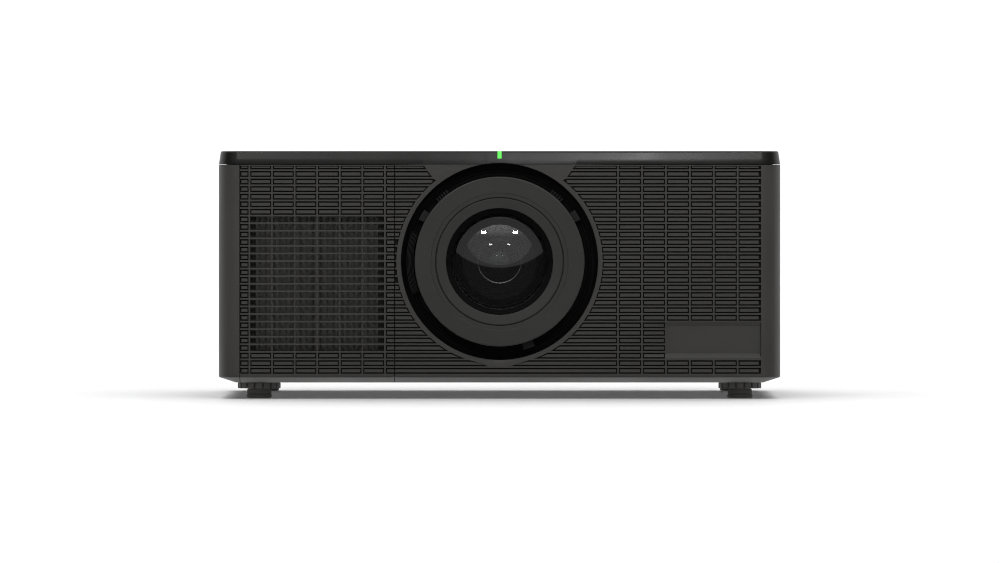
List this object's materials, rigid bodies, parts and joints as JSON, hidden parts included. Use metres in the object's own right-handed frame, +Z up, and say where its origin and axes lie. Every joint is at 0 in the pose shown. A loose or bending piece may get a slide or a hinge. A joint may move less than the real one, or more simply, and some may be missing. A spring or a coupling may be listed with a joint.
{
  "type": "projector",
  "caption": "Large dark projector with a louvred front, round shifting lens, lift-off filter door, rear sockets, fans and screw feet.",
  "frame": {"origin": "middle of the footprint at floor level, under the foot pads", "axes": "+X to the right seen from the front, -Y out of the lens, +Z up"},
  "size_m": [0.484, 0.534, 0.2135],
  "materials": {
    "case_plastic": "fine-textured charcoal moulding, satin",
    "lens_ring": "smooth satin charcoal",
    "black_plastic": "matt black",
    "glass": "coated optical glass",
    "aluminium": "bare cast and extruded metal",
    "steel": "zinc-plated sheet",
    "rubber": "matt black rubber",
    "filter_media": "pleated grey filter sheet",
    "status_lens": "clear green light guide",
    "circuit_board": "green lacquered board"
  },
  "bodies": {
    "case": {"top_cover": "case_plastic", "front_bezel": "case_plastic", "left_side_panel": "case_plastic", "right_side_panel": "case_plastic", "rear_panel": "case_plastic", "base_plate": "steel", "status_light": "status_lens", "filter_seat": "black_plastic", "lens_mount_base": "aluminium", "v_shift_motor": "steel", "engine_housing": "aluminium", "light_prism": "glass", "imager_heatsink": "aluminium", "laser_module": "aluminium", "laser_heatsink": "aluminium", "wheel_motor": "steel", "power_supply": "steel", "main_board": "circuit_board", "intake_fan_frame": "black_plastic", "exhaust_fan_frame": "black_plastic", "port_block": "black_plastic", "power_inlet": "black_plastic"},
    "door": {"filter_door": "case_plastic", "filter_frame": "black_plastic", "filter_mesh": "filter_media"},
    "lens_v": {"v_shift_plate": "aluminium", "h_shift_motor": "steel"},
    "lens": {"h_shift_plate": "aluminium", "lens_barrel": "black_plastic", "lens_front_ring": "lens_ring", "front_glass": "glass", "glass_retainer": "black_plastic", "lens_stop": "black_plastic", "rear_glass": "glass", "motor_bracket": "aluminium", "focus_motor": "steel", "zoom_motor": "steel"},
    "v_screw": {"v_shift_screw": "steel"},
    "h_screw": {"h_shift_screw": "steel"},
    "focus_ring": {"focus_ring": "black_plastic"},
    "focus_pinion": {"focus_pinion": "aluminium"},
    "zoom_ring": {"zoom_ring": "black_plastic"},
    "zoom_pinion": {"zoom_pinion": "aluminium"},
    "intake_rotor": {"intake_fan_rotor": "black_plastic"},
    "exhaust_rotor": {"exhaust_fan_rotor": "black_plastic"},
    "phosphor_wheel": {"phosphor_wheel": "aluminium"},
    "power_rocker": {"power_rocker": "black_plastic"},
    "power_key": {"power_key": "black_plastic"},
    "input_key": {"input_key": "black_plastic"},
    "menu_key": {"menu_key": "black_plastic"},
    "enter_key": {"enter_key": "black_plastic"},
    "back_key": {"back_key": "black_plastic"},
    "foot_pad_front_left": {"foot_pad_front_left": "rubber"},
    "foot_screw_front_left": {"foot_screw_front_left": "black_plastic"},
    "foot_pad_front_right": {"foot_pad_front_right": "rubber"},
    "foot_screw_front_right": {"foot_screw_front_right": "black_plastic"},
    "foot_pad_rear_left": {"foot_pad_rear_left": "rubber"},
    "foot_screw_rear_left": {"foot_screw_rear_left": "black_plastic"},
    "foot_pad_rear_right": {"foot_pad_rear_right": "rubber"},
    "foot_screw_rear_right": {"foot_screw_rear_right": "black_plastic"}
  },
  "joints": [
    {"name": "door_slide", "type": "slide", "parent": "case", "child": "door", "axis": [0, -1, 0], "range_m": [0, 0.12]},
    {"name": "lens_shift_v", "type": "slide", "parent": "case", "child": "lens_v", "axis": [0, 0, 1], "range_m": [-0.008, 0.008]},
    {"name": "lens_shift_h", "type": "slide", "parent": "lens_v", "child": "lens", "axis": [1, 0, 0], "range_m": [-0.005, 0.005]},
    {"name": "v_screw_turn", "type": "hinge", "parent": "case", "child": "v_screw", "pos_m": [0.099, -0.1738, 0.1184], "axis": [0, 0, 1], "range_deg": [-721, 721]},
    {"name": "h_screw_turn", "type": "hinge", "parent": "lens_v", "child": "h_screw", "pos_m": [0, -0.1864, 0.0364], "axis": [1, 0, 0], "range_deg": [-451, 451]},
    {"name": "focus_turn", "type": "hinge", "parent": "lens", "child": "focus_ring", "pos_m": [0, -0.24, 0.1184], "axis": [0, 1, 0], "range_deg": [-45, 45]},
    {"name": "focus_pinion_turn", "type": "hinge", "parent": "lens", "child": "focus_pinion", "pos_m": [-0.06389, -0.24, 0.07366], "axis": [0, 1, 0], "range_deg": [-250, 250]},
    {"name": "zoom_turn", "type": "hinge", "parent": "lens", "child": "zoom_ring", "pos_m": [0, -0.21, 0.1184], "axis": [0, 1, 0], "range_deg": [-30, 30]},
    {"name": "zoom_pinion_turn", "type": "hinge", "parent": "lens", "child": "zoom_pinion", "pos_m": [0.06389, -0.21, 0.07366], "axis": [0, 1, 0], "range_deg": [-250, 250]},
    {"name": "intake_fan_spin", "type": "hinge", "parent": "case", "child": "intake_rotor", "pos_m": [-0.157, -0.233, 0.108], "axis": [0, 1, 0], "continuous": true},
    {"name": "exhaust_fan_spin", "type": "hinge", "parent": "case", "child": "exhaust_rotor", "pos_m": [0.15, 0.24, 0.14], "axis": [0, 1, 0], "continuous": true},
    {"name": "phosphor_spin", "type": "hinge", "parent": "case", "child": "phosphor_wheel", "pos_m": [0.136, -0.1001, 0.1403], "axis": [0, 1, 0], "continuous": true},
    {"name": "rocker_tilt", "type": "hinge", "parent": "case", "child": "power_rocker", "pos_m": [0.156, 0.2625, 0.046], "axis": [1, 0, 0], "range_deg": [0, 16]},
    {"name": "power_key_press", "type": "slide", "parent": "case", "child": "power_key", "axis": [0, -1, 0], "range_m": [0, 0.0012], "stiffness_N_per_m": 400, "springref_m": -0.002},
    {"name": "input_key_press", "type": "slide", "parent": "case", "child": "input_key", "axis": [0, -1, 0], "range_m": [0, 0.0012], "stiffness_N_per_m": 400, "springref_m": -0.002},
    {"name": "menu_key_press", "type": "slide", "parent": "case", "child": "menu_key", "axis": [0, -1, 0], "range_m": [0, 0.0012], "stiffness_N_per_m": 400, "springref_m": -0.002},
    {"name": "enter_key_press", "type": "slide", "parent": "case", "child": "enter_key", "axis": [0, -1, 0], "range_m": [0, 0.0012], "stiffness_N_per_m": 400, "springref_m": -0.002},
    {"name": "back_key_press", "type": "slide", "parent": "case", "child": "back_key", "axis": [0, -1, 0], "range_m": [0, 0.0012], "stiffness_N_per_m": 400, "springref_m": -0.002},
    {"name": "foot_front_left_extend", "type": "slide", "parent": "case", "child": "foot_pad_front_left", "axis": [0, 0, -1], "range_m": [0, 0.0101]},
    {"name": "foot_front_left_turn", "type": "hinge", "parent": "foot_pad_front_left", "child": "foot_screw_front_left", "pos_m": [-0.2076, -0.221, 0.0087], "axis": [0, 0, 1], "range_deg": [0, 2880]},
    {"name": "foot_front_right_extend", "type": "slide", "parent": "case", "child": "foot_pad_front_right", "axis": [0, 0, -1], "range_m": [0, 0.0101]},
    {"name": "foot_front_right_turn", "type": "hinge", "parent": "foot_pad_front_right", "child": "foot_screw_front_right", "pos_m": [0.2076, -0.221, 0.0087], "axis": [0, 0, 1], "range_deg": [0, 2880]},
    {"name": "foot_rear_left_extend", "type": "slide", "parent": "case", "child": "foot_pad_rear_left", "axis": [0, 0, -1], "range_m": [0, 0.0101]},
    {"name": "foot_rear_left_turn", "type": "hinge", "parent": "foot_pad_rear_left", "child": "foot_screw_rear_left", "pos_m": [-0.2076, 0.225, 0.0087], "axis": [0, 0, 1], "range_deg": [0, 2880]},
    {"name": "foot_rear_right_extend", "type": "slide", "parent": "case", "child": "foot_pad_rear_right", "axis": [0, 0, -1], "range_m": [0, 0.0101]},
    {"name": "foot_rear_right_turn", "type": "hinge", "parent": "foot_pad_rear_right", "child": "foot_screw_rear_right", "pos_m": [0.2076, 0.225, 0.0087], "axis": [0, 0, 1], "range_deg": [0, 2880]}
  ],
  "couplings": [
    {"joint": "v_screw_turn", "follows": "lens_shift_v", "rad_per_m": 1570.8},
    {"joint": "h_screw_turn", "follows": "lens_shift_h", "rad_per_m": 1570.8},
    {"joint": "focus_pinion_turn", "follows": "focus_turn", "ratio": -5.5},
    {"joint": "zoom_pinion_turn", "follows": "zoom_turn", "ratio": -5.5},
    {"joint": "foot_front_left_extend", "follows": "foot_front_left_turn", "m_per_rad": 0.00019894},
    {"joint": "foot_front_right_extend", "follows": "foot_front_right_turn", "m_per_rad": 0.00019894},
    {"joint": "foot_rear_left_extend", "follows": "foot_rear_left_turn", "m_per_rad": 0.00019894},
    {"joint": "foot_rear_right_extend", "follows": "foot_rear_right_turn", "m_per_rad": 0.00019894}
  ]
}
